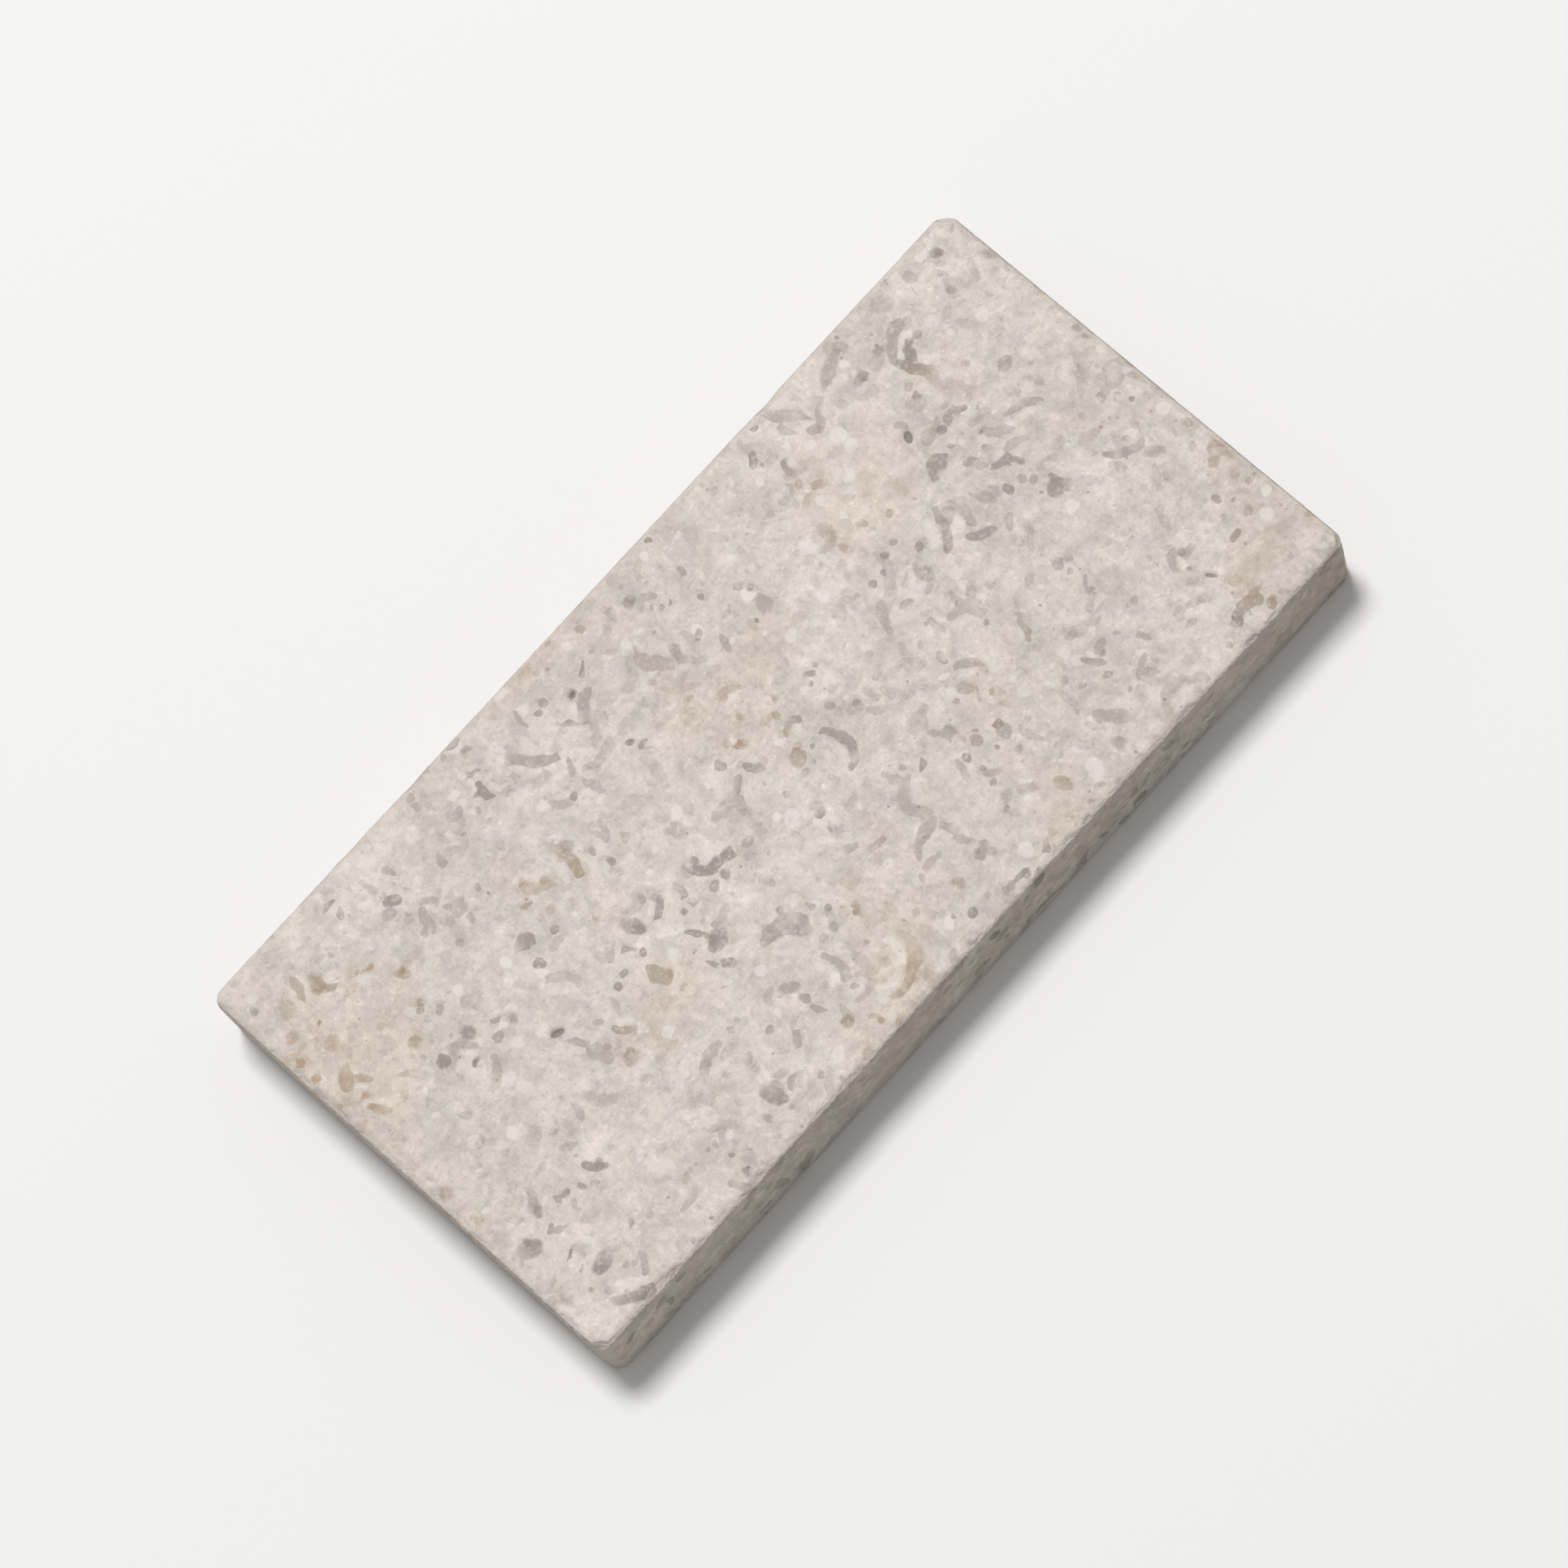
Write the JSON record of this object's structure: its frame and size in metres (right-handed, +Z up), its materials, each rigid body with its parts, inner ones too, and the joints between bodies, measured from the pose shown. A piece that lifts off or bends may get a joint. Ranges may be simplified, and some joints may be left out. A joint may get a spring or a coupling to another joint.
{
  "type": "limestone brick slip",
  "caption": "Flat rectangular brick slip sawn from beige limestone, with a honed face, worn arrises and a plain sawn back to be bonded to a wall or floor.",
  "frame": {"origin": "middle of the sawn back, which is the bedding face and the lowest face as stored", "axes": "+X along the slip's length, +Y across its width, +Z up out of the honed show face"},
  "size_m": [0.2, 0.1, 0.02],
  "materials": {
    "limestone": "honed"
  },
  "bodies": {
    "root": {"slip": "limestone"}
  },
  "joints": []
}
